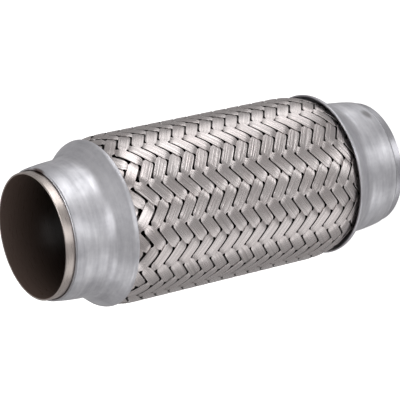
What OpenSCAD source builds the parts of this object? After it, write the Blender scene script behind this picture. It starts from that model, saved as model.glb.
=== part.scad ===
// Exhaust flex pipe, standing on its rear end. A corrugated bellows holds the gas in. A strip-wound
// liner runs inside it and a woven wire braid holds it from outside. At each end a pressed cap and
// an inner sleeve clamp all three together.

/* [Pipe] */
// Inside diameter of both pipe ends
bore_d = 60; // [45:1:90]
// Length over both inner sleeves
overall_l = 200; // [170:1:300]

/* [Inner sleeves] */
// Wall of an inner sleeve
sleeve_wall = 1; // [0.6:0.1:2]
// Length of sleeve that stands out of the end cap
sleeve_reach = 4.5; // [1:0.5:8]
// Length of sleeve that lies inside the liner
liner_seat = 10; // [5:1:20]

/* [End caps] */
// Sheet thickness of an end cap
cap_wall = 0.9; // [0.7:0.05:1.5]
// Open seam between the rim of the neck and the sleeve
rim_gap = 0.3; // [0.1:0.05:0.5]
// Length of the domed neck
neck_l = 16; // [13:0.5:20]
// Room between the top of the neck and the braid inside it
neck_room = 0.7; // [0.5:0.05:1]
// Length of the flare from the neck to the lip
flare_l = 13.4; // [12:0.1:18]
// Bend from the neck into the flare, as a share of the radius that two bends can have together
root_share = 0.55; // [0.4:0.01:0.6]
// Bend from the flare into the lip, as a share of that radius
shoulder_share = 0.22; // [0.1:0.01:0.35]
// Straight length of the lip
lip_l = 0.3; // [0.2:0.1:1]
// How far the lip lies below the outside of the braid
lip_drop = 0.65; // [0.4:0.05:0.8]

/* [Braid] */
// Bands woven each way round
bands = 24; // [16:2:30]
// Distance along the pipe between neighbouring bands of one hand
band_pitch = 7.84; // [6.5:0.02:12]
// Wall of the braid under its ridges
braid_wall = 0.65; // [0.5:0.05:1]
// Height of a band where it passes over
ridge_h = 0.85; // [0.5:0.05:1]
// Height that is left where a band dips under its neighbours
dip_h = 0.5; // [0.2:0.05:0.7]
// Width of the groove between neighbouring bands
groove_w = 0.9; // [0.5:0.05:1.6]
// Length of each gap along the groove
gap_l = 0.9; // [0.5:0.05:1.5]
// Rows of open gaps near each end cap
gap_rows = 2; // [1:1:2]
// Length over which the braid swells from the neck to its full size
swell_l = 27.5; // [25:0.5:34]
// Radius of the first bend of that swell
swell_bend = 12; // [9:0.5:16]

/* [Bellows] */
// Wall of the bellows
bellows_wall = 0.4; // [0.3:0.05:0.6]
// Number of convolutions
convolutions = 15; // [11:1:18]
// Height of a convolution from the inside of its root to the top of its crest
convolution_h = 6.6; // [5.5:0.1:9]
// Length over which the bellows widens from its cuff to its roots
widening_l = 9; // [7:0.5:12]

/* [Liner] */
// Strip thickness of the liner
liner_wall = 0.5; // [0.3:0.05:0.7]
// Height of the folded strip
liner_h = 1.9; // [1.5:0.1:2.6]
// Turns of the strip
liner_turns = 14; // [8:1:18]

/* [Clearances] */
// Between tubes that are pressed one into the other
fit_gap = 0.05; // [0.03:0.01:0.1]
// Between the crests of the bellows and the braid
braid_gap = 0.2; // [0.15:0.05:0.5]
// Between the liner and the roots of the bellows
liner_gap = 0.3; // [0.1:0.05:0.8]

/* [Hidden] */
$fn = 96;
mid_z = overall_l / 2;

// Radii of the nested tubes at the neck, from the bore outwards
bore_r = bore_d / 2;
sleeve_r = bore_r + sleeve_wall;
cuff_in = sleeve_r + fit_gap;
cuff_r = cuff_in + bellows_wall;
braid_neck_r = cuff_r + fit_gap + braid_wall;
neck_r = braid_neck_r + neck_room + cap_wall;
rim_r = sleeve_r + rim_gap + cap_wall;

// Radii of the nested tubes along the pipe
liner_in = sleeve_r + fit_gap;
liner_r = liner_in + liner_h;
root_in = liner_r + liner_gap;
crest_r = root_in + convolution_h;
valley_r = crest_r + braid_gap + braid_wall;
braid_r = valley_r + ridge_h;
lip_r = braid_r - lip_drop;

// Places along the pipe, measured from the mouth of either end
flare_start = sleeve_reach + neck_l;
flare_end = flare_start + flare_l;
cap_end = flare_end + lip_l;
swell_start = flare_start - 0.5;
swell_end = swell_start + swell_l;
cuff_end = swell_start + 1;
widening_end = cuff_end + widening_l;
liner_start = widening_end + 1;
sleeve_l = liner_start + liner_seat;

// Weave: columns round the pipe and rings along it; a knot is where four crossings meet
columns = 2 * bands;
column_a = 360 / columns;
half_pitch = band_pitch / 2;
weave_cover = 0.8;
half_rings = ceil((mid_z - cap_end + weave_cover) / half_pitch);
rings = 2 * half_rings;
cell_w = valley_r * column_a * PI / 180;
cell_edge = norm([cell_w, half_pitch]);
band_space = 2 * cell_w * half_pitch / cell_edge;
side_inset = groove_w / 2 / band_space;
gap_share = gap_l / cell_edge;
gap_first = 3;
tuck_steps = 5;

// Sheet bends: points [along, radius, slope] on an arc round c; turn is 1 for convex, -1 for hollow
function bend(c, radius, from, to, turn, n) = [
  for (i = [0:n])
    let (a = from + (to - from) * i / n)
    [c.x - turn * radius * sin(a), c.y + turn * radius * cos(a), a]
];

// Sum of the two radii, and the steepest slope, of a double bend that climbs dr over dx
function bend_sum(dx, dr) = (dx * dx + dr * dr) / (2 * dr);
function bend_slope(dx, dr) = 2 * atan(dr / dx);

// Hollow bend, straight slope and convex bend from radius r0 at x0 to radius r1 at x1
function double_bend(x0, r0, x1, r1, root, shoulder, n) =
  let (
    dx = x1 - x0,
    dr = r1 - r0,
    a = root * bend_sum(dx, dr),
    b = shoulder * bend_sum(dx, dr),
    rest = a + b - dr,
    slope = atan2(dx, rest) - acos((a + b) / norm([dx, rest]))
  )
  concat(
    bend([x0, r0 + a], a, 0, slope, -1, n),
    bend([x1, r1 - b], b, slope, 0, 1, n)
  );

// Bend of the domed neck, and the place where its inside first clears the clamped braid
neck_bend = bend_sum(neck_l, neck_r - rim_r);
cuff_start = flare_start - sqrt(
  pow(neck_bend - cap_wall, 2) - pow(neck_bend - cap_wall - neck_room + fit_gap, 2)
);

// Closed section of a sheet along a path, from the out side to the in side of it
function sheet(path, out, in) = concat(
  [for (p = path) [p.y + out * cos(p.z), p.x - out * sin(p.z)]],
  [for (i = [len(path) - 1:-1:0]) let (p = path[i]) [p.y - in * cos(p.z), p.x + in * sin(p.z)]]
);

// A piece of the rear end, turned round for the front end
module at_front() {
  translate([0, 0, overall_l])
    mirror([0, 0, 1])
      children();
}

module end_cap() {
  rim_slope = asin(neck_l / neck_bend);
  path = concat(
    bend([flare_start, neck_r - neck_bend], neck_bend, rim_slope, rim_slope / 10, 1, 9),
    double_bend(flare_start, neck_r, flare_end, lip_r, root_share, shoulder_share, 10),
    [[cap_end, lip_r, 0]]
  );
  rotate_extrude()
    polygon(sheet(path, 0, cap_wall));
}

module front_end_cap() {
  color("#a9abb0")
    at_front()
      end_cap();
}

module rear_end_cap() {
  color("#a9abb0")
    end_cap();
}

module inner_sleeve() {
  rotate_extrude()
    translate([bore_r, 0])
      square([sleeve_wall, sleeve_l]);
}

module front_inner_sleeve() {
  color("#b9b0aa")
    at_front()
      inner_sleeve();
}

module rear_inner_sleeve() {
  color("#b9b0aa")
    inner_sleeve();
}

// Bellows: a cuff at each end and a row of U-shaped convolutions between
module bellows() {
  half = bellows_wall / 2;
  cuff = cuff_in + half;
  root = root_in + half;
  crest = crest_r - half;
  pitch = (overall_l - 2 * swell_end) / convolutions;
  r = pitch / 4;
  end = concat([[cuff_start, cuff, 0]], double_bend(cuff_end, cuff, widening_end, root, 0.45, 0.45, 5));
  waves = [
    for (i = [0:convolutions - 1])
      let (x = swell_end + i * pitch, end_one = i == convolutions - 1)
      each concat(
        bend([x, root + r], r, 0, 90, -1, 5),
        bend([x + 2 * r, crest - r], r, 90, -90, 1, 10),
        bend([x + 4 * r, root + r], r, -90, end_one ? 0 : -18, -1, end_one ? 5 : 4)
      )
  ];
  far_end = [for (i = [len(end) - 1:-1:0]) [overall_l - end[i].x, end[i].y, -end[i].z]];
  color("#8f8a84")
    rotate_extrude()
      polygon(sheet(concat(end, waves, far_end), half, half));
}

// Liner: strip folded into lands that lie in turn on the inside and on the outside
module inner_liner() {
  pitch = (overall_l - 2 * liner_start) / (liner_turns + 0.5);
  half = liner_wall / 2;
  low = liner_in + liner_wall;
  high = liner_r - liner_wall;
  outside = [
    for (i = [0:liner_turns - 1])
      let (x = liner_start + i * pitch)
      each [
        [low, x + (i == 0 ? 0 : half)],
        [low, x + pitch / 2 - half],
        [liner_r, x + pitch / 2 - half],
        [liner_r, x + pitch + half]
      ]
  ];
  inside = [
    for (i = [liner_turns - 1:-1:0])
      let (x = liner_start + i * pitch)
      each [
        [liner_in, x + pitch - half],
        [high, x + pitch - half],
        [high, x + pitch / 2 + half],
        [liner_in, x + pitch / 2 + half]
      ]
  ];
  ends = [
    [low, overall_l - liner_start - pitch / 2 + half],
    [low, overall_l - liner_start],
    [liner_in, overall_l - liner_start]
  ];
  color("#6f6a66")
    rotate_extrude()
      polygon(concat(outside, ends, inside, [[liner_in, liner_start]]));
}

// Radius of the braid's grooves at height z: a neck, a swell and a full barrel
function valley(z) =
  let (
    x = min(z, overall_l - z),
    dr = valley_r - braid_neck_r,
    second = bend_sum(swell_l, dr) - swell_bend,
    change = swell_start + swell_bend * sin(bend_slope(swell_l, dr))
  )
  x <= swell_start ? braid_neck_r
  : x >= swell_end ? valley_r
  : x <= change ? braid_neck_r + swell_bend - sqrt(pow(swell_bend, 2) - pow(x - swell_start, 2))
  : valley_r - second + sqrt(pow(second, 2) - pow(swell_end - x, 2));

// A point of the braid; skin 0 is the outside, skin 1 the inside, which stays clear of the bellows
function wrap(n) = (n + columns) % columns;
function ring_z(k) = mid_z + (k - half_rings) * half_pitch;
function braid_point(skin, n, z, lift) =
  let (
    a = wrap(n) * column_a - 90,
    r = skin == 0 ? valley(z) + lift : (valley(z) - braid_wall) / cos(column_a / 2)
  )
  [r * cos(a), r * sin(a), z];

// Which of its bands a crossing shows: 0 and 1 are the halves of one hand, 3 and 2 of the other
function half_of(n) = (wrap(n) + 3) % 4;
function mate_side(n) = [1, 3, 0, 2][half_of(n)];
function mate_k(k, n) = k + [1, -1, -1, 1][half_of(n)];
function mate_n(n) = n + [1, -1, 1, -1][half_of(n)];
function mated(k, n) = mate_k(k, n) >= 0 && mate_k(k, n) <= rings - 2;

// Corners of a crossing in the order low, right, high, left; k and n are those of the low one
function corner_k(k, i) = k + [0, 1, 2, 1][i];
function corner_n(n, i) = n + [0, 1, 0, -1][i];

// Rows of knots that are opened into gaps, and the one groove of a knot that a band covers
gap_k = concat(
  [for (i = [0:gap_rows - 1]) gap_first + i],
  [for (i = [0:gap_rows - 1]) rings - gap_first - i]
);
function gap_row(k) = [for (i = [0:len(gap_k) - 1]) if (gap_k[i] == k) i];
function is_gap(k) = len(gap_row(k)) > 0;
function covered(n) = [3, 1, 0, 2][half_of(n)];

// Places of the points in the list
knot_count = (rings + 1) * bands;
plate_base = 2 * knot_count;
gap_base = plate_base + 4 * (rings - 1) * bands;
mid_base = gap_base + 8 * len(gap_k) * bands;
tuck_base = mid_base + 4 * bands;

function slot(n) = floor(wrap(n) / 2);
function knot(skin, k, n) = skin * knot_count + k * bands + slot(n);
function own_plate(k, n, i) = plate_base + 4 * (k * bands + slot(n)) + i;
function plate(k, n, i) =
  mated(k, n) && half_of(n) == 1 && (i == 0 || i == 3) ? own_plate(k - 1, n - 1, i == 0 ? 1 : 2)
  : mated(k, n) && half_of(n) == 2 && i < 2 ? own_plate(k - 1, n + 1, i == 0 ? 3 : 2)
  : own_plate(k, n, i);
function gap(skin, k, n, e) =
  gap_base + 4 * ((skin * len(gap_k) + gap_row(k)[0]) * bands + slot(n)) + e;
function tuck(skin, end, j, n) =
  j > 0 ? tuck_base + ((skin * 2 + end) * tuck_steps + j - 1) * columns + wrap(n)
  : wrap(n) % 2 == half_rings % 2 ? knot(skin, end * rings, n)
  : mid_base + (skin * 2 + end) * bands + slot(n);

// Column of the given slot in ring k, so that knots of neighbouring rings lie between each other
function column(k, m) = 2 * m + (k + half_rings) % 2;

// Top of a band at a crossing: full height where it goes on to its other half, lower at its end
function plate_point(k, n, i) =
  let (
    side = mate_side(n),
    inset = [
      for (j = [0:3])
        j == side && mated(k, n) ? 0 : side_inset
    ],
    a = i == 1 || i == 2 ? 1 - inset[1] : inset[3],
    b = i == 2 || i == 3 ? 1 - inset[2] : inset[0],
    full = mated(k, n) && (i == side || i == (side + 1) % 4)
  )
  braid_point(0, n + a - b, ring_z(k) + (a + b) * half_pitch, full ? ridge_h : dip_h);

// End of a gap on a groove of knot k, n; grooves run up-right, up-left, down-left, down-right
function gap_point(skin, k, n, e) =
  let (across = e == 0 || e == 3 ? 1 : -1, along = e < 2 ? 1 : -1)
  braid_point(skin, n + across * gap_share, ring_z(k) + along * gap_share * half_pitch, 0);

// Place along the pipe of a ring of the tucked-in end
function tuck_x(j) = j == tuck_steps ? cuff_start
  : ring_z(0) + (swell_start - ring_z(0)) * j / (tuck_steps - 1);

function braid_points() = concat(
  [for (skin = [0, 1]) for (k = [0:rings]) for (m = [0:bands - 1])
    braid_point(skin, column(k, m), ring_z(k), 0)],
  [for (k = [0:rings - 2]) for (m = [0:bands - 1]) for (i = [0:3])
    plate_point(k, column(k, m), i)],
  [for (skin = [0, 1]) for (k = gap_k) for (m = [0:bands - 1]) for (e = [0:3])
    gap_point(skin, k, column(k, m), e)],
  [for (skin = [0, 1]) for (end = [0, 1]) for (m = [0:bands - 1])
    braid_point(skin, column(1, m), ring_z(end * rings), 0)],
  [for (skin = [0, 1]) for (end = [0, 1]) for (j = [1:tuck_steps]) for (n = [0:columns - 1])
    braid_point(skin, n, end == 0 ? tuck_x(j) : overall_l - tuck_x(j), 0)]
);

// Rim of a crossing at corner i: the knot, or the two ends of the gap there
function rim(skin, k, n, i) =
  let (kk = corner_k(k, i), nn = corner_n(n, i), into = (i + 1) % 4)
  !is_gap(kk) ? [knot(skin, kk, nn)]
  : covered(nn) == into ? [knot(skin, kk, nn), gap(skin, kk, nn, i)]
  : covered(nn) == i ? [gap(skin, kk, nn, into), knot(skin, kk, nn)]
  : [gap(skin, kk, nn, into), gap(skin, kk, nn, i)];

function last(list) = list[len(list) - 1];

// Outside of a crossing: the top of its band and the slopes down to the grooves
function crossing_faces(k, n) =
  let (
    p = [for (i = [0:3]) plate(k, n, i)],
    r = [for (i = [0:3]) rim(0, k, n, i)]
  )
  concat(
    [[p[0], p[1], p[2]], [p[0], p[2], p[3]]],
    [for (i = [0:3]) if (len(r[i]) == 2) [r[i][0], r[i][1], p[i]]],
    [for (i = [0:3]) if (!(mated(k, n) && i == mate_side(n)))
      let (j = (i + 1) % 4)
      each [[last(r[i]), r[j][0], p[j]], [last(r[i]), p[j], p[i]]]]
  );

// One side of the inside of a crossing, from a to c past the rim at corner i
function inside_half(a, r, c, ends_covered) =
  len(r) == 1 ? [[a, r[0], c]]
  : ends_covered ? [[a, r[0], c], [r[0], r[1], c]]
  : [[a, r[0], r[1]], [a, r[1], c]];

// Inside of a crossing, split along the pipe
function inside_faces(k, n) =
  let (r = [for (i = [0:3]) rim(1, k, n, i)])
  concat(
    inside_half(last(r[0]), r[1], r[2][0], covered(corner_n(n, 1)) == 1),
    inside_half(last(r[2]), r[3], r[0][0], covered(corner_n(n, 3)) == 3),
    [if (len(r[0]) == 2) [r[0][0], r[0][1], r[2][0]]],
    [if (len(r[2]) == 2) [r[0][0], r[2][0], r[2][1]]]
  );

function flip(list) = [for (f = list) [f[0], f[2], f[1]]];

// Wall between two rings of points, low one first
function wall_faces(low, high) = [
  for (n = [0:len(low) - 1])
    let (m = (n + 1) % len(low))
    each [[low[n], low[m], high[m]], [low[n], high[m], high[n]]]
];

function tuck_ring(skin, end, j) = [for (n = [0:columns - 1]) tuck(skin, end, j, n)];

// Plain wall from the first and last rings of the weave down to the clamped ends
function tuck_faces(skin) = concat(
  [for (j = [0:tuck_steps - 1]) each wall_faces(tuck_ring(skin, 0, j + 1), tuck_ring(skin, 0, j))],
  [for (j = [0:tuck_steps - 1]) each wall_faces(tuck_ring(skin, 1, j), tuck_ring(skin, 1, j + 1))],
  [for (m = [0:bands - 1])
    let (n = column(0, m), p = [for (i = [0:2]) tuck(skin, 0, 0, n + i)], t = knot(skin, 1, n + 1))
    each [[p[0], p[1], t], [p[1], p[2], t]]],
  [for (m = [0:bands - 1])
    let (n = column(0, m), p = [for (i = [0:2]) tuck(skin, 1, 0, n + i)], t = knot(skin, rings - 1, n + 1))
    each [[t, p[1], p[0]], [t, p[2], p[1]]]]
);

// Corners of the gap at knot k, n
function gap_ring(skin, k, n) = [
  for (e = [0:3]) e == covered(n) ? knot(skin, k, n) : gap(skin, k, n, e)
];

function braid_faces() = concat(
  [for (k = [0:rings - 2]) for (m = [0:bands - 1]) each crossing_faces(k, column(k, m))],
  [for (k = [0:rings - 2]) for (m = [0:bands - 1]) each flip(inside_faces(k, column(k, m)))],
  tuck_faces(0),
  flip(tuck_faces(1)),
  wall_faces(tuck_ring(1, 0, tuck_steps), tuck_ring(0, 0, tuck_steps)),
  wall_faces(tuck_ring(0, 1, tuck_steps), tuck_ring(1, 1, tuck_steps)),
  [for (k = gap_k) for (m = [0:bands - 1])
    each flip(wall_faces(gap_ring(0, k, column(k, m)), gap_ring(1, k, column(k, m))))]
);

module outer_braid() {
  color("#b3a9a3")
    polyhedron(braid_points(), flip(braid_faces()));
}

front_end_cap();
rear_end_cap();
front_inner_sleeve();
rear_inner_sleeve();
bellows();
inner_liner();
outer_braid();
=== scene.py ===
# %% [markdown]
# # Exhaust flex pipe
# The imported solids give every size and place. This lesson dresses them: pressed caps with soft dents,
# brushed sleeves, a braid of real wire bands that cross over and under, and dull steel inside.
# The pipe stands on its rear end, with its axis along Z and its front mouth at the top.

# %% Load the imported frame
import math

import bmesh
import bpy
from mathutils import Matrix, Vector, noise


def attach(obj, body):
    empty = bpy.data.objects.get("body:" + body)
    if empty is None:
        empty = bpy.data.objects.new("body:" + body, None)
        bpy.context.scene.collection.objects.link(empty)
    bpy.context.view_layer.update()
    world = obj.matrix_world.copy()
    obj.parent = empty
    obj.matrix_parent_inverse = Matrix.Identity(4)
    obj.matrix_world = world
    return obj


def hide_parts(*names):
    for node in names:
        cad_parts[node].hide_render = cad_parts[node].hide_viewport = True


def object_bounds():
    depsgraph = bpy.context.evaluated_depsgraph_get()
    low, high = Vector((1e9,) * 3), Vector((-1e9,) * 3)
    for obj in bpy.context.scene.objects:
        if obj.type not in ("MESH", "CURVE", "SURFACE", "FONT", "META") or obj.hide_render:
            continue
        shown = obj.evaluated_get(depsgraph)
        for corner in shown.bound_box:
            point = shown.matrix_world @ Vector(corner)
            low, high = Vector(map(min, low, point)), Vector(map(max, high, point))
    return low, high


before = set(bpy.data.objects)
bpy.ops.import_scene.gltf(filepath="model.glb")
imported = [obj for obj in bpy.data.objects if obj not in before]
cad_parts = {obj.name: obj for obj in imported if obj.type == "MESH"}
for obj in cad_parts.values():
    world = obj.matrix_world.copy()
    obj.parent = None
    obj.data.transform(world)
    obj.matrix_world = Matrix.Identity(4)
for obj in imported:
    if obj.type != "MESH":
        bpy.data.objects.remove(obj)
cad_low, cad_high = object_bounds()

MM = 0.001
LENGTH = (cad_high.z - cad_low.z) / MM
print("pipe length, mm:", round(LENGTH, 2), "nodes:", len(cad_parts))

# %% [markdown]
# ## Sizes
# Every piece is measured from the mouth of its own end, so both ends share one set of numbers. The
# script can't read the part's source, so the sizes that the pieces need are written here once, in mm.

# %% Sizes of the nested tubes, in mm
BORE_R = 30.0
SLEEVE_R = 31.0
RIM_R = 32.2
NECK_R = 33.75
LIP_R = 40.9
BRAID_R = 41.55
CAP_WALL = 0.9
CAP_START = 4.5
FLARE_START = 20.5
FLARE_END = 33.9
CAP_END = 34.2
SLEEVE_END = 41.0


def along(distance, front):
    """Height in mm of a place at a distance from the front or rear mouth."""
    return LENGTH - distance if front else distance


print("braid over caps, mm:", round(LENGTH - 2 * CAP_END, 1))

# %% [markdown]
# ## Small helpers for materials
# A colour picked on a screen is in sRGB, and shaders want linear values, so one function converts
# it. A second function adds a node, sets it up and links it, which keeps each material readable.

# %% Colour and node helpers
def linear(hex_colour):
    """Linear RGBA of an sRGB hex colour."""
    parts = [int(hex_colour[i:i + 2], 16) / 255 for i in (1, 3, 5)]
    return tuple(p / 12.92 if p <= 0.04045 else ((p + 0.055) / 1.055) ** 2.4 for p in parts) + (1.0,)


def add(tree, kind, settings=None, inputs=None):
    """Add a node; an input that is a socket is linked, any other value is set."""
    made = tree.nodes.new(kind)
    for name, value in (settings or {}).items():
        setattr(made, name, value)
    for name, value in (inputs or {}).items():
        if isinstance(value, bpy.types.NodeSocket):
            tree.links.new(value, made.inputs[name])
        else:
            made.inputs[name].default_value = value
    return made


def start_material(name):
    """A new node material with its shader and its Object coordinates."""
    material = bpy.data.materials.new(name)
    material.use_nodes = True
    tree = material.node_tree
    shader = tree.nodes["Principled BSDF"]
    place = add(tree, "ShaderNodeTexCoord").outputs["Object"]
    return material, tree, shader, place


def per_mm(size):
    """Noise scale, in cycles per metre, of a feature of this size in mm."""
    return 1 / (size * MM)


print("mid grey in linear light:", round(linear("#808080")[0], 3))

# %% [markdown]
# ## Camera
# The photograph was fitted with a turned outline, which gave the lens and the place of the camera. It
# looks down on the standing pipe and is rolled, so that the pipe lies across the picture. A camera
# that isn't turned looks straight down, so it is first tipped up, then rolled about its own view.

# %% Camera at the photograph's angle
CAMERA_RISE = math.radians(32.637)
CAMERA_ROLL = math.radians(-102.65)
CAMERA_AWAY = 1.2355
CAMERA_AIM = Vector((-0.0004, 0, 0.1034))

camera_data = bpy.data.cameras.new("camera")
camera_data.sensor_width = 36
camera_data.lens = 225
camera_data.clip_start = 0.05
camera_data.clip_end = 20
camera = bpy.data.objects.new("camera", camera_data)
bpy.context.collection.objects.link(camera)
tipped = Matrix.Rotation(math.pi / 2 - CAMERA_RISE, 4, "X")
rolled = Matrix.Rotation(CAMERA_ROLL, 4, "Z")
camera_place = CAMERA_AIM + CAMERA_AWAY * Vector((0, -math.cos(CAMERA_RISE), math.sin(CAMERA_RISE)))
camera.matrix_world = Matrix.Translation(camera_place) @ tipped @ rolled
bpy.context.scene.camera = camera
print("camera distance, m:", CAMERA_AWAY)

# %% [markdown]
# ## Pressed caps: satin stainless sheet
# Sheet that was pressed and tumbled is satin, with cloudy marks, shallow dents, and streaks and faint
# rings that run round with the spinning tool. The rings are really about 0.1 mm wide, but that is too
# fine to show, so they are drawn at 0.5 mm. At the front seam a tack weld has left brown heat tint, and
# the rear cap has a grey smudge. The distance from a place, squeezed along the axis, makes both stains.

# %% Satin sheet for the caps
WELD_TURN = math.radians(68)
WELD_AT = (math.sin(WELD_TURN) * RIM_R, -math.cos(WELD_TURN) * RIM_R, LENGTH - CAP_START)
SMUDGE_TURN = math.radians(46)
SMUDGE_AT = (math.sin(SMUDGE_TURN) * RIM_R, -math.cos(SMUDGE_TURN) * RIM_R, 2 * CAP_START)


def stained(tree, place, tone, centre, squeeze, spread, strength, colour):
    """Colour socket of a tone with a stain round a place in mm, squeezed along the axis."""
    squeezed = add(tree, "ShaderNodeMapping", inputs={"Vector": place, "Scale": (1, 1, squeeze)})
    middle = (centre[0] * MM, centre[1] * MM, centre[2] * MM * squeeze)
    away = add(tree, "ShaderNodeVectorMath", {"operation": "DISTANCE"}, {
        0: squeezed.outputs["Vector"], 1: middle})
    amount = add(tree, "ShaderNodeMapRange", {"interpolation_type": "SMOOTHSTEP"}, {
        "Value": away.outputs["Value"], "From Min": 0.3 * spread * MM, "From Max": spread * MM,
        "To Min": strength, "To Max": 0})
    return add(tree, "ShaderNodeMix", {"data_type": "RGBA"}, {
        "Factor": amount.outputs["Result"], "A": tone, "B": linear(colour)}).outputs["Result"]


def heat_tint(tree, place, tone):
    """Colour socket of a tone that turns brown near the tack weld."""
    return stained(tree, place, tone, WELD_AT, squeeze=4.0, spread=7.0, strength=0.85,
                   colour="#4e3328")


def satin_sheet():
    # Satin gives the eye wide soft highlights that are broken up by marks.
    material, tree, shader, place = start_material("satin_pressed_stainless_sheet")
    clouds = add(tree, "ShaderNodeTexNoise", inputs={
        "Vector": place, "Scale": per_mm(9), "Detail": 6, "Roughness": 0.66})
    squeeze = add(tree, "ShaderNodeMapping", inputs={"Vector": place, "Scale": (0.1, 0.1, 1)})
    streaks = add(tree, "ShaderNodeTexNoise", inputs={
        "Vector": squeeze.outputs["Vector"], "Scale": per_mm(3), "Detail": 3, "Roughness": 0.55})
    rings = add(tree, "ShaderNodeTexNoise", inputs={
        "Vector": squeeze.outputs["Vector"], "Scale": per_mm(0.5), "Detail": 3, "Roughness": 0.6})
    dents = add(tree, "ShaderNodeTexNoise", inputs={
        "Vector": place, "Scale": per_mm(15), "Detail": 1, "Roughness": 0.4})
    marks = add(tree, "ShaderNodeMath", {"operation": "ADD"}, {
        0: clouds.outputs["Fac"], 1: streaks.outputs["Fac"]})
    worn = add(tree, "ShaderNodeMapRange", inputs={
        "Value": marks.outputs["Value"], "From Min": 0.5, "From Max": 1.5})
    tone = add(tree, "ShaderNodeMix", {"data_type": "RGBA"}, {
        "Factor": worn.outputs["Result"], "A": linear("#b2b2b8"), "B": linear("#f4f4f8")})
    rough = add(tree, "ShaderNodeMapRange", inputs={
        "Value": worn.outputs["Result"], "To Min": 0.52, "To Max": 0.38})
    wide = add(tree, "ShaderNodeBump", inputs={
        "Height": dents.outputs["Fac"], "Strength": 0.5, "Distance": 1.3 * MM})
    fine = add(tree, "ShaderNodeBump", inputs={
        "Height": rings.outputs["Fac"], "Strength": 0.4, "Distance": 0.08 * MM,
        "Normal": wide.outputs["Normal"]})
    smudged = stained(tree, place, tone.outputs["Result"], SMUDGE_AT, squeeze=1.5, spread=5.0,
                      strength=0.6, colour="#5c5856")
    shader.inputs["Metallic"].default_value = 1
    tree.links.new(heat_tint(tree, place, smudged), shader.inputs["Base Color"])
    tree.links.new(rough.outputs["Result"], shader.inputs["Roughness"])
    tree.links.new(fine.outputs["Normal"], shader.inputs["Normal"])
    return material


SATIN = satin_sheet()
print("made", SATIN.name)

# %% [markdown]
# ## Sleeves: brushed stainless
# The sleeve is rolled from brushed strip. The scratches run round the tube, so the noise is squeezed
# along the axis and stretched round it. Scratches 0.05 mm wide are drawn at 0.25 mm to show. Inside
# the bore the strip is painted dark brown and not metallic, as painted shade. The distance from the axis
# tells the two sides apart. The photograph shows the front sleeve warm in tone and no warm strip at the
# rear.

# %% Brushed strip for the sleeves
# Radii past the bore, in mm, over which the painted shade inside the bore fades out.
BORE_PAINTED_SHADE_EDGE = (0.15, 0.4)


def brushed_strip(name, dark, light):
    # Brushing gives the eye a sharper highlight that is drawn out along the tube.
    material, tree, shader, place = start_material(name)
    squeeze = add(tree, "ShaderNodeMapping", inputs={"Vector": place, "Scale": (0.04, 0.04, 1)})
    scratch = add(tree, "ShaderNodeTexNoise", inputs={
        "Vector": squeeze.outputs["Vector"], "Scale": per_mm(0.25), "Detail": 3, "Roughness": 0.6})
    tone = add(tree, "ShaderNodeMix", {"data_type": "RGBA"}, {
        "Factor": scratch.outputs["Fac"], "A": linear(dark), "B": linear(light)})
    tinted = heat_tint(tree, place, tone.outputs["Result"])
    # Painted shade: inside the bore the colour turns dark brown and stops being metallic.
    flat = add(tree, "ShaderNodeMapping", inputs={"Vector": place, "Scale": (1, 1, 0)})
    from_axis = add(tree, "ShaderNodeVectorMath", {"operation": "LENGTH"}, {
        "Vector": flat.outputs["Vector"]})
    bare = add(tree, "ShaderNodeMapRange", inputs={
        "Value": from_axis.outputs["Value"], "From Min": (BORE_R + BORE_PAINTED_SHADE_EDGE[0]) * MM,
        "From Max": (BORE_R + BORE_PAINTED_SHADE_EDGE[1]) * MM})
    bore_painted_shade = add(tree, "ShaderNodeMix", {"data_type": "RGBA"}, {
        "Factor": bare.outputs["Result"], "A": linear("#63544d"), "B": tinted})
    rough = add(tree, "ShaderNodeMapRange", inputs={
        "Value": scratch.outputs["Fac"], "From Min": 0.3, "From Max": 0.7, "To Min": 0.24, "To Max": 0.4})
    bump = add(tree, "ShaderNodeBump", inputs={
        "Height": scratch.outputs["Fac"], "Strength": 0.3, "Distance": 0.03 * MM})
    tree.links.new(bare.outputs["Result"], shader.inputs["Metallic"])
    tree.links.new(bore_painted_shade.outputs["Result"], shader.inputs["Base Color"])
    tree.links.new(rough.outputs["Result"], shader.inputs["Roughness"])
    tree.links.new(bump.outputs["Normal"], shader.inputs["Normal"])
    return material


FRONT_BRUSHED = brushed_strip("brushed_rolled_stainless_strip", "#b8aca6", "#d9d2cd")
REAR_BRUSHED = brushed_strip("brushed_rolled_stainless_strip_cool", "#b4b4ba", "#dcdce1")
print("made", FRONT_BRUSHED.name, "and", REAR_BRUSHED.name)

# %% [markdown]
# ## Bellows and liner: dull steel with painted shade
# Inside the pipe the thin sheet is dull, and painted very dark and a little brown as painted shade,
# since it lies in shade. Both stay as CAD nodes and only get this finish, in two tones.

# %% Dull steel with painted shade for the inner tubes
def dull_steel_with_painted_shade(name, dark, light, roughness):
    # Dull steel with painted shade: the very dark tone gives the eye a dark ground behind the braid and
    # inside the bore.
    material, tree, shader, place = start_material(name)
    stains = add(tree, "ShaderNodeTexNoise", inputs={
        "Vector": place, "Scale": per_mm(9), "Detail": 5, "Roughness": 0.65})
    tone = add(tree, "ShaderNodeMix", {"data_type": "RGBA"}, {
        "Factor": stains.outputs["Fac"], "A": linear(dark), "B": linear(light)})
    rough = add(tree, "ShaderNodeMapRange", inputs={
        "Value": stains.outputs["Fac"], "To Min": roughness - 0.1, "To Max": roughness + 0.1})
    shader.inputs["Metallic"].default_value = 1
    tree.links.new(tone.outputs["Result"], shader.inputs["Base Color"])
    tree.links.new(rough.outputs["Result"], shader.inputs["Roughness"])
    return material


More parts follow.
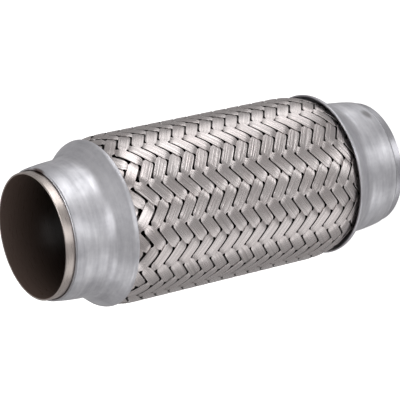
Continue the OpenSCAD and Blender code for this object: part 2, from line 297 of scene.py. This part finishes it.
# Both pairs of tones are painted shade: very dark, because the bellows and liner lie in shade.
BELLOWS_STEEL = dull_steel_with_painted_shade("dull_hydroformed_stainless_painted_shade", "#1c1a18", "#2f2b27", 0.5)
LINER_STEEL = dull_steel_with_painted_shade("dull_folded_stainless_strip_painted_shade", "#241f1c", "#3a322d", 0.45)
for node_name, steel in (("bellows", BELLOWS_STEEL), ("inner_liner", LINER_STEEL)):
    node_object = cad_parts[node_name]
    node_object.data.materials.clear()
    node_object.data.materials.append(steel)
print("inner tubes finished")

# %% [markdown]
# ## Braid wire: drawn stainless
# Drawn wire is bright with a warm tint. Each wire carries its own tone in a mesh attribute, together
# with painted shade: darker in the grooves between wires and where a band dips under its neighbours.

# %% Drawn wire for the braid
def drawn_wire():
    # Drawn wire gives the eye bright bands with fine lines; painted shade darkens the grooves and the ends
    # where bands dip under.
    material, tree, shader, place = start_material("drawn_stainless_wire")
    shade = add(tree, "ShaderNodeAttribute", {"attribute_name": "wire_tone_and_painted_shade"})
    film = add(tree, "ShaderNodeTexNoise", inputs={
        "Vector": place, "Scale": per_mm(14), "Detail": 2, "Roughness": 0.5})
    bright = add(tree, "ShaderNodeMix", {"data_type": "RGBA"}, {
        "Factor": film.outputs["Fac"], "A": linear("#f2edec"), "B": linear("#eae0de")})
    tone = add(tree, "ShaderNodeMix", {"data_type": "RGBA"}, {
        "Factor": shade.outputs["Fac"], "A": linear("#1a1514"), "B": bright.outputs["Result"]})
    rough = add(tree, "ShaderNodeMapRange", inputs={
        "Value": shade.outputs["Fac"], "From Min": 0.5, "From Max": 1, "To Min": 0.32, "To Max": 0.22})
    shader.inputs["Metallic"].default_value = 1
    tree.links.new(tone.outputs["Result"], shader.inputs["Base Color"])
    tree.links.new(rough.outputs["Result"], shader.inputs["Roughness"])
    return material


WIRE = drawn_wire()
print("made", WIRE.name)

# %% [markdown]
# ## Finishing a piece
# A finished bmesh becomes an object at the origin, rides on the one body of this part, names its
# material slot and stands for a CAD node.

# %% Turn a bmesh into a finished piece
def finish_piece(bm, name, material, node):
    mesh = bpy.data.meshes.new(name)
    bm.to_mesh(mesh)
    bm.free()
    mesh.materials.append(material)
    piece = bpy.data.objects.new(name, mesh)
    bpy.context.collection.objects.link(piece)
    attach(piece, "root")
    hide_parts(node)
    mesh.calc_loop_triangles()
    print(name, "triangles:", len(mesh.loop_triangles))


def spun(profile, steps):
    """Bmesh of an open profile of (radius, height) points in mm, spun once round the axis."""
    bm = bmesh.new()
    points = [bm.verts.new((r * MM, 0, z * MM)) for r, z in profile]
    lines = [bm.edges.new(pair) for pair in zip(points, points[1:])]
    bmesh.ops.spin(bm, geom=points + lines, cent=(0, 0, 0), axis=(0, 0, 1), dvec=(0, 0, 0),
                   angle=math.tau, steps=steps, use_merge=True, use_duplicate=False)
    bmesh.ops.recalc_face_normals(bm, faces=bm.faces)
    return bm


def ring_edges(bm, radius, z):
    """Edges of the ring that lies at this radius and height, in mm."""
    def on_ring(v):
        return abs(v.co.z / MM - z) < 0.01 and abs(v.co.xy.length / MM - radius) < 0.05
    return [e for e in bm.edges if on_ring(e.verts[0]) and on_ring(e.verts[1])]


def round_ring(bm, radius, z, width, segments):
    """Round off the ring at this radius and height."""
    bmesh.ops.bevel(bm, geom=ring_edges(bm, radius, z), affect="EDGES", offset=width * MM,
                    offset_type="OFFSET", segments=segments, profile=0.5, material=-1,
                    clamp_overlap=False)


# %% [markdown]
# ## End caps
# A cap is a pressed sheet with a domed neck, a flare and a short lip. Five points spun round the
# axis give its outside with sharp corners. Bevels of the right width turn the corners into the
# press's bends, and solidify then gives the sheet its thickness.

# %% Press both end caps
def bend_sum(run, rise):
    """Sum of the radii of two bends that climb this rise over this run with no straight between."""
    return (run * run + rise * rise) / (2 * rise)


NECK_BEND = bend_sum(FLARE_START - CAP_START, NECK_R - RIM_R)
NECK_SLOPE = math.asin((FLARE_START - CAP_START) / NECK_BEND)
FLARE_RUN = FLARE_END - FLARE_START
FLARE_RISE = LIP_R - NECK_R
ROOT_SHARE = 0.55
SHOULDER_SHARE = 0.22
ROOT_BEND = ROOT_SHARE * bend_sum(FLARE_RUN, FLARE_RISE)
SHOULDER_BEND = SHOULDER_SHARE * bend_sum(FLARE_RUN, FLARE_RISE)
BOTH_BENDS = ROOT_BEND + SHOULDER_BEND
REST = BOTH_BENDS - FLARE_RISE
FLARE_SLOPE = math.atan2(FLARE_RUN, REST) - math.acos(BOTH_BENDS / math.hypot(FLARE_RUN, REST))
SPIN_STEPS = 180
BEVEL_SHARE = 0.99
RIM_ROUND = 0.4
LIP_ROUND = 0.25


def end_cap(front):
    name = "front_end_cap" if front else "rear_end_cap"
    neck, root, shoulder = (
        bend * math.tan(slope / 2) for bend, slope in
        ((NECK_BEND, NECK_SLOPE), (ROOT_BEND, FLARE_SLOPE), (SHOULDER_BEND, FLARE_SLOPE)))
    corners = [(RIM_R, CAP_START), (NECK_R, FLARE_START - neck), (NECK_R, FLARE_START + root),
               (LIP_R, FLARE_END - shoulder), (LIP_R, CAP_END)]
    bm = spun([(r, along(d, front)) for r, d in corners], SPIN_STEPS)
    for corner, width, segments in zip(corners[1:4], (neck, root, shoulder), (12, 10, 8)):
        round_ring(bm, corner[0], along(corner[1], front), BEVEL_SHARE * width, segments)
    bmesh.ops.solidify(bm, geom=bm.faces[:], thickness=CAP_WALL * MM)
    bmesh.ops.recalc_face_normals(bm, faces=bm.faces)
    round_ring(bm, RIM_R, along(CAP_START, front), RIM_ROUND, 4)
    round_ring(bm, LIP_R, along(CAP_END, front), LIP_ROUND, 3)
    for face in bm.faces:
        face.smooth = True
    finish_piece(bm, name + "_sheet", SATIN, name)


end_cap(True)
end_cap(False)

# %% [markdown]
# ## Inner sleeves
# A sleeve is a short rolled tube. Its section is spun and thickened the same way, and its cut edges
# are deburred with a small bevel so that they catch a line of light.

# %% Roll both sleeves
DEBURR = 0.22


def inner_sleeve(front):
    name = "front_inner_sleeve" if front else "rear_inner_sleeve"
    bm = spun([(SLEEVE_R, along(0, front)), (SLEEVE_R, along(SLEEVE_END, front))], SPIN_STEPS)
    bmesh.ops.solidify(bm, geom=bm.faces[:], thickness=(SLEEVE_R - BORE_R) * MM)
    bmesh.ops.recalc_face_normals(bm, faces=bm.faces)
    for r in (SLEEVE_R, BORE_R):
        round_ring(bm, r, along(0, front), DEBURR, 3)
    for face in bm.faces:
        face.smooth = True
    strip = FRONT_BRUSHED if front else REAR_BRUSHED
    finish_piece(bm, name + "_tube", strip, name)


inner_sleeve(True)
inner_sleeve(False)

# %% [markdown]
# ## Braid: where the bands run
# The braid has 24 bands each way round. Unrolled, the crossings lie on a grid: columns 7.5 degrees
# apart round the pipe and steps of half a pitch along it. A band climbs one step for each column. It
# goes over two crossings and then under two, which makes the herringbone. The stretch on top is a
# float. A band is squeezed at the ends of its float, which opens the dark windows at the knots.

# %% Grid of the weave
# Lengths are in mm. Places along a float, such as DIVE, are in crossings from the float's middle.
BANDS = 24
COLUMN = math.tau / (2 * BANDS)
BAND_PITCH = 7.84
STEP = BAND_PITCH / 2
BAND_W = 5.6
PINCH = 0.34
BAND_T = 0.2
CROSS_LIFT = 0.28
LOOSE = 0.035
WIRES = 10
DIVE = (0.7, 1.3)
SWELL_START = 20.0
FRONT_SWELL_END = 46.0
REAR_SWELL_END = 50.5
SWELL_BEND = 12.0
BRAID_NECK_R = 32.15
MIDDLE = LENGTH / 2
BRAID_MID_R = BRAID_R - CROSS_LIFT - BAND_T / 2 - LOOSE
CELL_W = BRAID_MID_R * COLUMN
CELL_EDGE = math.hypot(CELL_W, STEP)


def smooth_step(low, high, x):
    """0 up to low, 1 from high on, and a smooth rise between them."""
    t = min(max((x - low) / (high - low), 0), 1)
    return t * t * (3 - 2 * t)


def off_float(phase):
    """Distance, in crossings, from the middle of the nearest float: the stretch that lies on top."""
    # The weave repeats after four crossings, and the first float has its middle at 1.5.
    return abs((phase - 1.5 + 2) % 4 - 2)


def over_under(phase):
    """1 on top of the weave and -1 below it."""
    return 1 - 2 * smooth_step(*DIVE, off_float(phase))


def barrel(z):
    """Radius in mm of the middle of the braid at height z: full in the barrel, less inside the caps."""
    d = min(z, LENGTH - z)
    end = FRONT_SWELL_END if z > MIDDLE else REAR_SWELL_END
    climb = BRAID_MID_R - BRAID_NECK_R
    rest = bend_sum(end - SWELL_START, climb) - SWELL_BEND
    change = SWELL_START + SWELL_BEND * math.sin(2 * math.atan(climb / (end - SWELL_START)))
    if d >= end:
        return BRAID_MID_R
    if d <= change:
        return BRAID_NECK_R + SWELL_BEND - math.sqrt(SWELL_BEND ** 2 - max(d - SWELL_START, 0) ** 2)
    return BRAID_MID_R - rest + math.sqrt(rest ** 2 - (end - d) ** 2)


band_angle = math.degrees(math.atan2(CELL_W, STEP))
print("bands:", 2 * BANDS, "angle to the axis, degrees:", round(band_angle, 1))

# %% [markdown]
# ## Braid: one band
# A band is a flat bundle of wires. A grid is made with an operator and each of its points is moved to
# its place: across the band it follows the round tops of the wires, along the band it follows the
# spiral and the weave. The last columns of the grid wrap round the underside, so the band closes
# into a solid strip. A little seeded noise keeps the wires from lying too neatly, and more of it by
# the front cap, where the photograph shows the braid pulled about.

# %% Weave one band
FACETS = 3
ACROSS = WIRES * FACETS
WIRE_TOP = [0.0, 0.9, 0.9]
WIRE_RELIEF = 0.06
SHOWN_STEPS = 17
ROWS_PER_STEP = 6
HIDDEN_STEPS = [17.3, 17.8, 18.5, 19.2]
PINCHED = (0.8, 1.0)
BURIED = (1.1, 1.3)
PULLED = (CAP_END, CAP_END + 20)
PULLED_NARROW = 0.07
PULLED_SWAY = 0.5
BAND_SWAY = 0.2
BAND_SWAY_RATE = 0.22
WIRE_SWAY = 0.05
WIRE_SWAY_RATE = 0.35
TUCKED = (24, 33)
TUCKED_LIFT = 0.35
WIRE_SHADE = 0.8
LOOSE_SHADE = 0.16
OWN_SHADE = 0.14
# The next two are painted shade: in the grooves between wires and under crossing bands.
GROOVE_PAINTED_SHADE = 0.14
UNDER_BAND_PAINTED_SHADE = 0.92


def band_rows():
    """Places along a band, in steps from the middle: close together where it shows, coarse where hidden."""
    last = ROWS_PER_STEP * SHOWN_STEPS
    shown = [i / ROWS_PER_STEP for i in range(-last, last + 1)]
    return [-s for s in reversed(HIDDEN_STEPS)] + shown + HIDDEN_STEPS


ROWS = band_rows()


def seeded(*place):
    """Smooth noise at a place, the same on each run."""
    return noise.noise(Vector(place))


def band_point(hand, index, column, row, seed):
    """Place of one grid point of a band, and the tone of its wire with painted shade."""
    step = ROWS[row]
    wire = min(column // FACETS, WIRES - 1)
    top = column <= ACROSS
    share = column / ACROSS if top else (1.0 if column == ACROSS + 1 else 0.0)
    sway = seeded(step * BAND_SWAY_RATE, seed, 3.1)
    loose = seeded(step * WIRE_SWAY_RATE, seed + 7.3, wire * 2.7)
    own = seeded(seed, wire * 5.3, 9.0)
    turn = step * hand + 2 * index + 1
    shift = 0 if hand > 0 else 2
    z = MIDDLE + step * STEP
    pulled = 1 - smooth_step(*PULLED, LENGTH - z)
    pinched = smooth_step(*PINCHED, off_float(turn + shift))
    width = BAND_W * (1 - PINCH * pinched - PULLED_NARROW * pulled)
    across = (share - 0.5) * width + (BAND_SWAY + PULLED_SWAY * pulled) * sway + WIRE_SWAY * loose
    narrow = barrel(z) / BRAID_MID_R
    z += across * narrow * CELL_W / CELL_EDGE
    arc = turn - hand * across * STEP / CELL_EDGE / CELL_W
    phase = (arc + hand * (z - MIDDLE) / STEP + 2 * index + 1) / 2 + shift
    out_of_cap = smooth_step(*TUCKED, min(z, LENGTH - z))
    height = (TUCKED_LIFT + (1 - TUCKED_LIFT) * out_of_cap) * CROSS_LIFT * over_under(phase)
    if top:
        height += BAND_T / 2 - WIRE_RELIEF * (1 - WIRE_TOP[column % FACETS]) + LOOSE * loose
    else:
        height -= BAND_T / 2
    angle = arc * COLUMN - math.pi / 2
    r = (barrel(z) + height) * MM
    # Painted shade: the grooves between wires are darkened.
    groove = 0.0 if WIRE_TOP[column % FACETS] else GROOVE_PAINTED_SHADE
    # Painted shade: each stretch that lies under other bands is darkened nearly to black.
    buried = smooth_step(*BURIED, off_float(phase))
    shade = (WIRE_SHADE + LOOSE_SHADE * loose + OWN_SHADE * own - groove) * (1 - UNDER_BAND_PAINTED_SHADE * buried)
    return Vector((r * math.cos(angle), r * math.sin(angle), z * MM)), shade


def weave_band(bm, shade_layer, hand, index, seed):
    across = ACROSS + 3
    made = bmesh.ops.create_grid(bm, x_segments=across, y_segments=len(ROWS) - 1, size=0.5)["verts"]
    columns = across + 1
    for i, vert in enumerate(made):
        column, row = i % columns, i // columns
        vert.co, vert[shade_layer] = band_point(hand, index, column % across, row, seed)
    seams = [v for i, v in enumerate(made) if i % columns in (0, across)]
    bmesh.ops.remove_doubles(bm, verts=seams, dist=1e-7)


# %% [markdown]
# ## Braid: all the bands
# The 48 bands are woven in four groups, so that no mesh grows too heavy. Open ends are filled, and
# the faces are smooth, so that the wires of a band read as fine lines.

# %% Weave the braid
def weave_group(hand, first, name):
    bm = bmesh.new()
    shade_layer = bm.verts.layers.float.new("wire_tone_and_painted_shade")
    for index in range(first, BANDS, 2):
        weave_band(bm, shade_layer, hand, index, 10.0 * index + 3.0 * hand)
    open_ends = [e for e in bm.edges if e.is_boundary]
    bmesh.ops.holes_fill(bm, edges=open_ends, sides=0)
    bmesh.ops.recalc_face_normals(bm, faces=bm.faces)
    for face in bm.faces:
        face.smooth = True
    finish_piece(bm, name, WIRE, "outer_braid")


weave_group(1, 0, "braid_rising_a")
weave_group(1, 1, "braid_rising_b")
weave_group(-1, 0, "braid_falling_a")
weave_group(-1, 1, "braid_falling_b")

# %% [markdown]
# ## Floor and light
# The floor is plain and pale, and a half dome closes the view behind it. Metal shows what is around it,
# so the light matters more than its colour: soft lights on both long sides, some low, some high, and a
# grey surround. The paper is kept out of the reflections, so that it doesn't wash out the shaded side.

# %% Floor and backdrop
STUDIO_R = 6.0


def white_paper():
    # Matte paper gives the eye an even white ground with no highlight of its own.
    material, _, shader, _ = start_material("matte_white_paper")
    shader.inputs["Base Color"].default_value = linear("#f4f4f2")
    shader.inputs["Roughness"].default_value = 0.9
    shader.inputs["Emission Color"].default_value = (1, 1, 1, 1)
    shader.inputs["Emission Strength"].default_value = 0.85
    return material


PAPER = white_paper()


def stage_sheet(bm, name):
    """Turn a bmesh into a sheet of the studio that isn't mirrored and casts no shadow."""
    mesh = bpy.data.meshes.new(name)
    bm.to_mesh(mesh)
    bm.free()
    mesh.materials.append(PAPER)
    sheet = bpy.data.objects.new(name, mesh)
    bpy.context.collection.objects.link(sheet)
    sheet.visible_glossy = False
    sheet.visible_diffuse = False
    sheet.visible_shadow = False
    print(name, "faces:", len(mesh.polygons))


floor_bm = bmesh.new()
bmesh.ops.create_grid(floor_bm, x_segments=1, y_segments=1, size=STUDIO_R)
stage_sheet(floor_bm, "floor")

dome_bm = bmesh.new()
bmesh.ops.create_uvsphere(dome_bm, u_segments=48, v_segments=24, radius=STUDIO_R)
bmesh.ops.bisect_plane(dome_bm, geom=dome_bm.verts[:] + dome_bm.edges[:] + dome_bm.faces[:], dist=1e-6,
                       plane_co=(0, 0, 0), plane_no=(0, 0, 1), clear_inner=True)
bmesh.ops.reverse_faces(dome_bm, faces=dome_bm.faces[:])
stage_sheet(dome_bm, "backdrop")

# %% Surround and soft lights
LIGHT_AWAY = 1.4
world = bpy.data.worlds.new("studio")
world.use_nodes = True
bpy.context.scene.world = world
surround = world.node_tree.nodes["Background"]
surround.inputs["Color"].default_value = (1, 0.98, 0.98, 1)
surround.inputs["Strength"].default_value = 0.36


def soft_light(name, azimuth, elevation, size, power):
    """A round soft box that faces the middle of the pipe from this side and height, in degrees."""
    data = bpy.data.lights.new(name, "AREA")
    data.shape = "DISK"
    data.size = size
    data.energy = power
    turn, rise = math.radians(azimuth), math.radians(elevation)
    outward = Vector((math.cos(rise) * math.cos(turn), math.cos(rise) * math.sin(turn), math.sin(rise)))
    light = bpy.data.objects.new(name, data)
    light.location = Vector((0, 0, LENGTH / 2 * MM)) + LIGHT_AWAY * outward
    light.rotation_mode = "QUATERNION"
    light.rotation_quaternion = (-outward).to_track_quat("-Z", "Y")
    bpy.context.collection.objects.link(light)


soft_light("long_side", 325, -12, 0.7, 2.5)
soft_light("upper_side", 345, -12, 0.6, 1.2)
soft_light("far_side", 10, -32, 0.6, 0.9)
soft_light("far_low", 350, -32, 0.6, 0.6)
soft_light("low_front", 282, -52, 0.6, 1.4)
soft_light("mouth_side", 0, 75, 0.6, 6.5)
soft_light("near_side", 202, -30, 1.0, 1.7)
soft_light("near_high", 190, 15, 0.8, 1.6)
soft_light("fill", 260, -12, 0.6, 1.0)
soft_light("front", 270, 12, 0.9, 3.0)
scene = bpy.context.scene
scene.view_settings.view_transform = "Standard"
scene.view_settings.look = "None"
